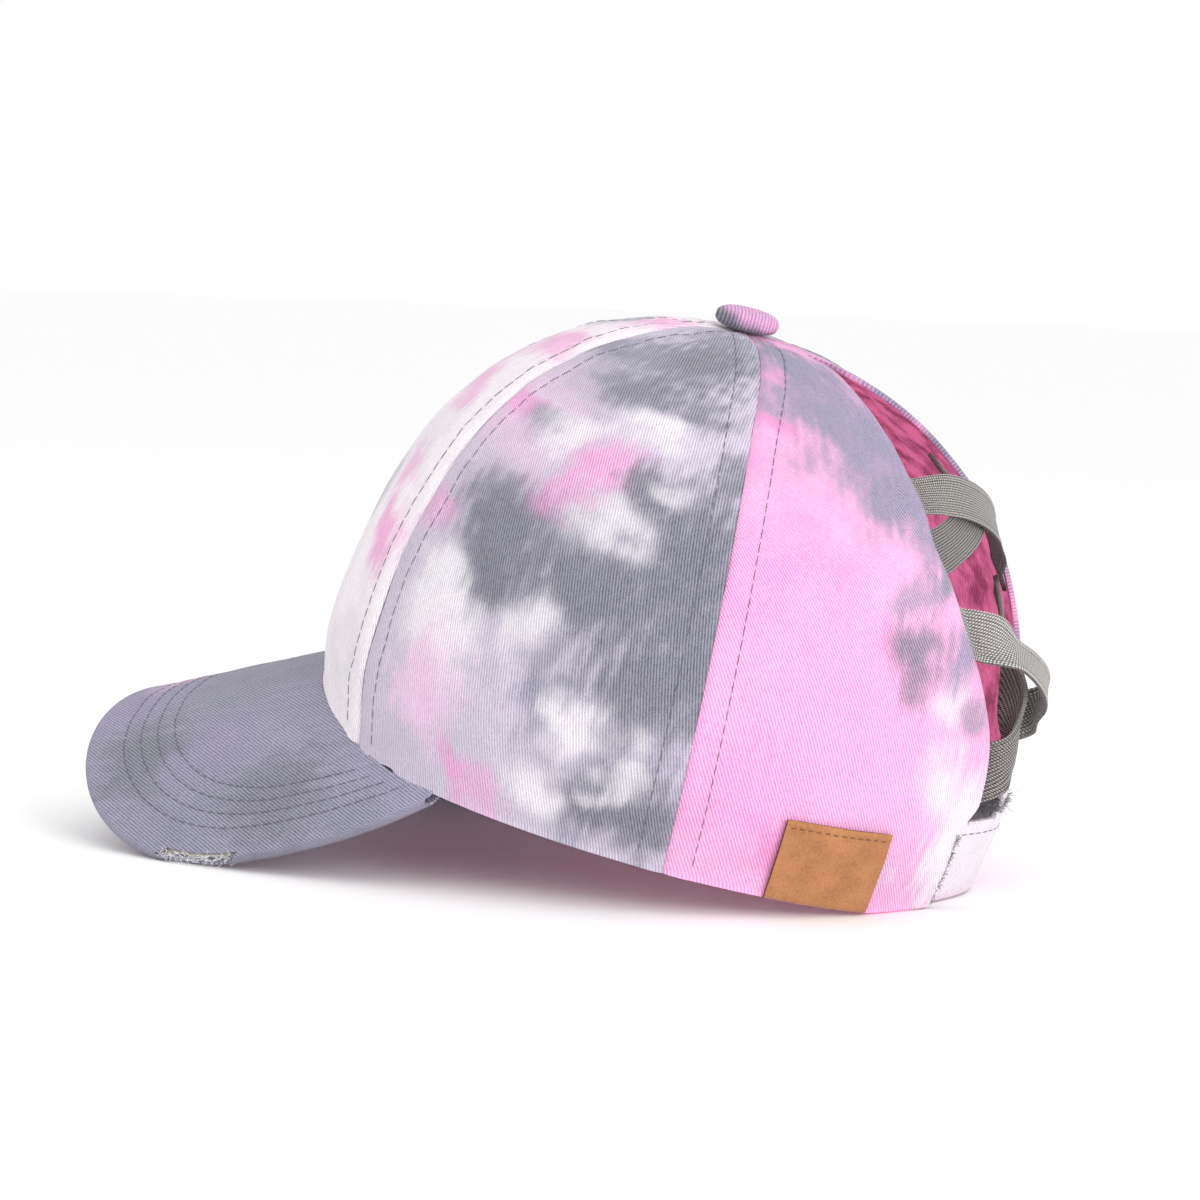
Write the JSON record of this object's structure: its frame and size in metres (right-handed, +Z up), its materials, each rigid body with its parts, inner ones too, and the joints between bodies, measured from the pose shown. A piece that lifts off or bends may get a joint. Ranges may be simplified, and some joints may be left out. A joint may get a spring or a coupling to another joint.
{
  "type": "ponytail baseball cap",
  "caption": "Tie-dyed panelled baseball cap with a curved peak and a back slit for a ponytail, crossed by elastic straps over a hook-and-loop closure.",
  "frame": {"origin": "on the table under the middle of the resting cap", "axes": "+Z up, peak towards -Y, wearer's left towards +X"},
  "size_m": [0.1638, 0.2864, 0.1598],
  "materials": {
    "front_cloth": "matte cotton twill, white with pale pink dye",
    "side_cloth": "matte cotton twill, grey, white and pink tie-dye",
    "rear_cloth": "matte cotton twill, pink with lilac-grey dye",
    "button_cloth": "matte cotton twill, grey and pink dye",
    "sweatband_cloth": "soft brushed cloth, grey",
    "peak_cloth": "matte cotton twill, lilac-grey, stitched rows",
    "board": "bare stiffening board, beige-grey",
    "elastic": "woven ribbed elastic, grey",
    "tape": "fuzzy hook-and-loop tape, dark grey",
    "suede": "suede, tan, with a dark cut edge"
  },
  "bodies": {
    "root": {"front_left_panel": "front_cloth", "front_right_panel": "front_cloth", "side_left_panel": "side_cloth", "side_right_panel": "side_cloth", "rear_left_panel": "rear_cloth", "rear_right_panel": "rear_cloth", "button": "button_cloth", "sweatband": "sweatband_cloth", "peak_cover": "peak_cloth", "peak_board": "board", "strap_upper_over": "elastic", "strap_upper_under": "elastic", "strap_lower_over": "elastic", "strap_lower_under": "elastic", "hook_tape": "tape", "loop_tape": "tape", "label": "suede"}
  },
  "joints": []
}
